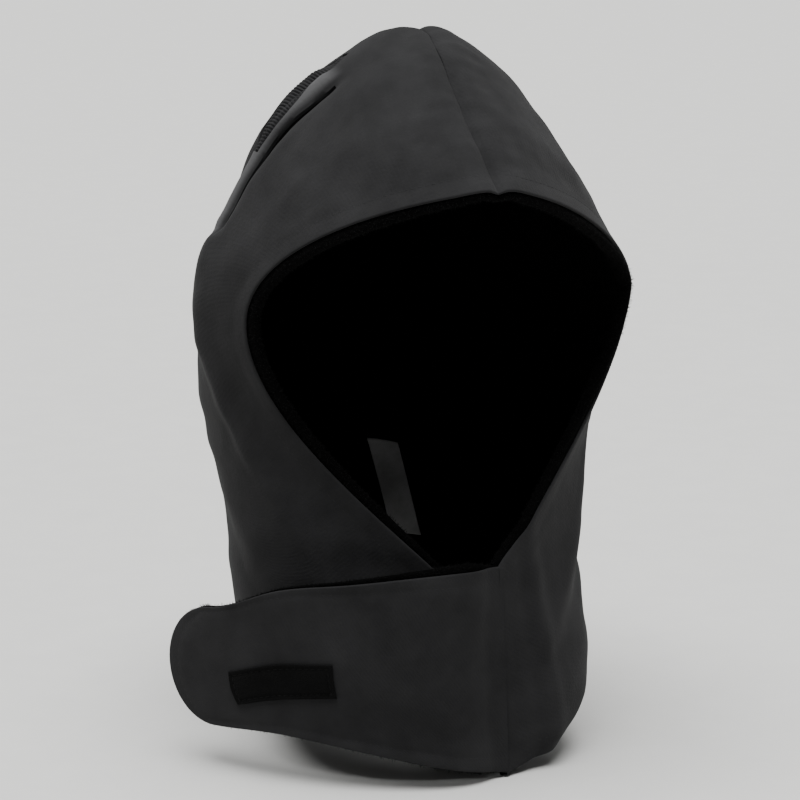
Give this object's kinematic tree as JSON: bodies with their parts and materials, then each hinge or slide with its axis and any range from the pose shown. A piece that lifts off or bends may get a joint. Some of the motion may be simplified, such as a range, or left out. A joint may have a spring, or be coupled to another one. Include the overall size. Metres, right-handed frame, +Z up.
{
  "type": "hard hat balaclava",
  "caption": "Fleece-lined twill hood with an open face, a crown seam, slotted sides with ribbed gussets and a wrap-over chin flap, worn under a hard hat.",
  "frame": {"origin": "where the top of the head meets the lining, under the crown seam", "axes": "+Z up, the face looks along -Y, +X to the wearer's left"},
  "size_m": [0.226, 0.2226, 0.3382],
  "materials": {
    "twill": "matte",
    "rib_knit": "matte",
    "fleece": "matte",
    "closure_tape": "matte",
    "satin": "satin"
  },
  "bodies": {
    "root": {"right_panel": "twill", "left_panel": "twill", "right_rib_gusset": "rib_knit", "left_rib_gusset": "rib_knit", "lining": "fleece", "chin_flap": "twill", "closure_patch": "closure_tape", "care_label": "satin"}
  },
  "joints": []
}
